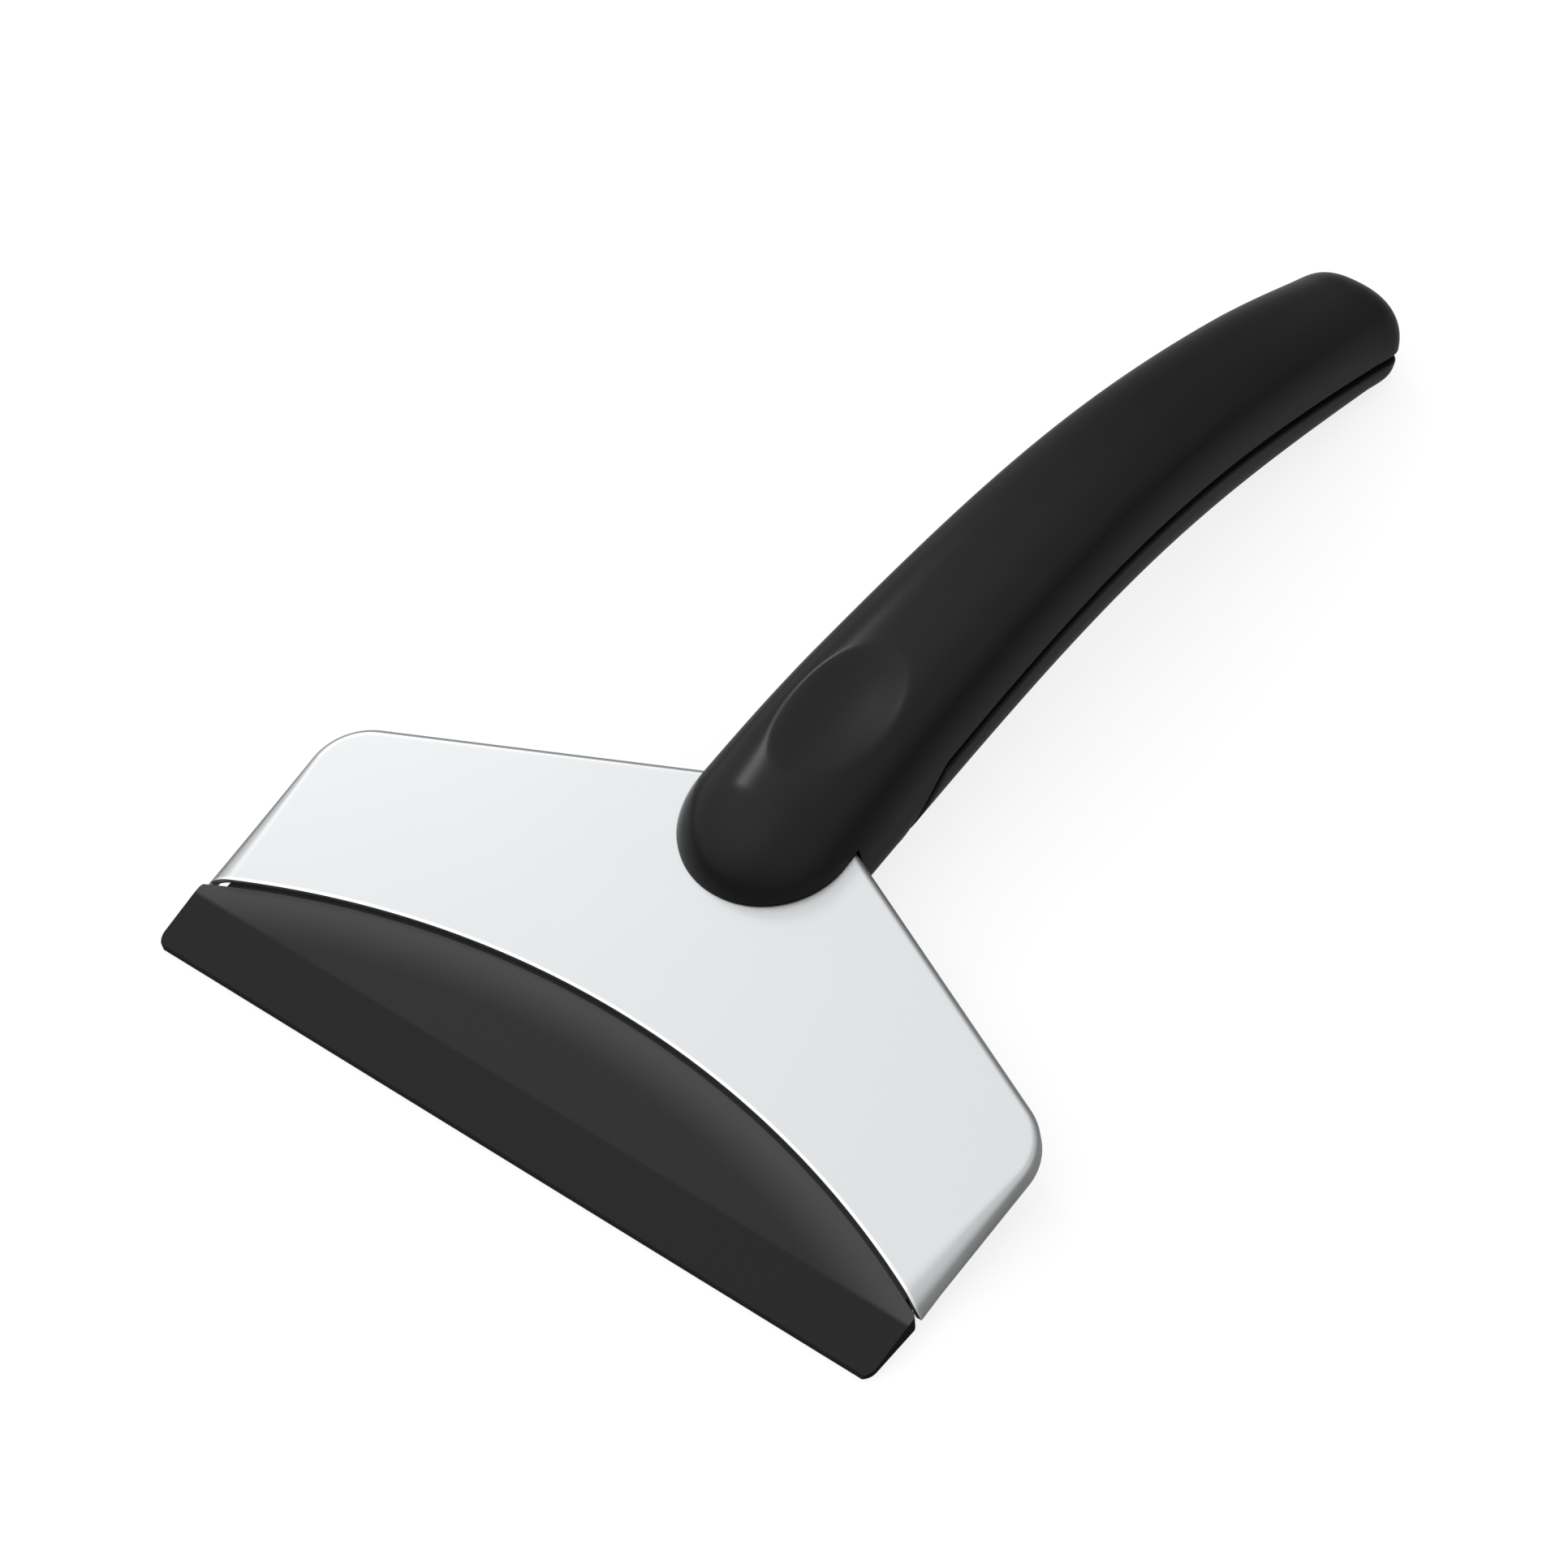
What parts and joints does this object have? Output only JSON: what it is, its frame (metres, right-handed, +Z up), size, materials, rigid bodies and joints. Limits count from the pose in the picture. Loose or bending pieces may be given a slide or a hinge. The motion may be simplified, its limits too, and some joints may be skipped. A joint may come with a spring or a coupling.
{
  "type": "ice scraper",
  "caption": "Hand ice scraper: a wedge blade under a rolled steel cover with an arched front, on a curved two-shell handle with a thumb recess.",
  "frame": {"origin": "on the floor below the middle of the whole scraper as it rests on its blade and on the end of its handle", "axes": "+X across the head, +Y from the cutting edge to the end of the handle, +Z up"},
  "size_m": [0.12, 0.1966, 0.0292],
  "materials": {
    "satin_stainless_steel": "satin",
    "matte_black_blade_plastic": "matte",
    "black_backing_plastic": "matte",
    "satin_black_handle_plastic": "satin",
    "zinc_plated_screw_steel": "zinc plated"
  },
  "bodies": {
    "root": {"steel_cover": "satin_stainless_steel", "scraper_blade": "matte_black_blade_plastic", "backing_plate": "black_backing_plastic", "handle_upper_shell": "satin_black_handle_plastic", "handle_lower_shell": "satin_black_handle_plastic", "blade_screw_1": "zinc_plated_screw_steel", "blade_screw_2": "zinc_plated_screw_steel", "blade_screw_3": "zinc_plated_screw_steel", "blade_screw_4": "zinc_plated_screw_steel", "neck_screw_front": "zinc_plated_screw_steel", "neck_screw_rear": "zinc_plated_screw_steel", "handle_screw_front": "zinc_plated_screw_steel", "handle_screw_middle": "zinc_plated_screw_steel", "handle_screw_rear": "zinc_plated_screw_steel"}
  },
  "joints": []
}
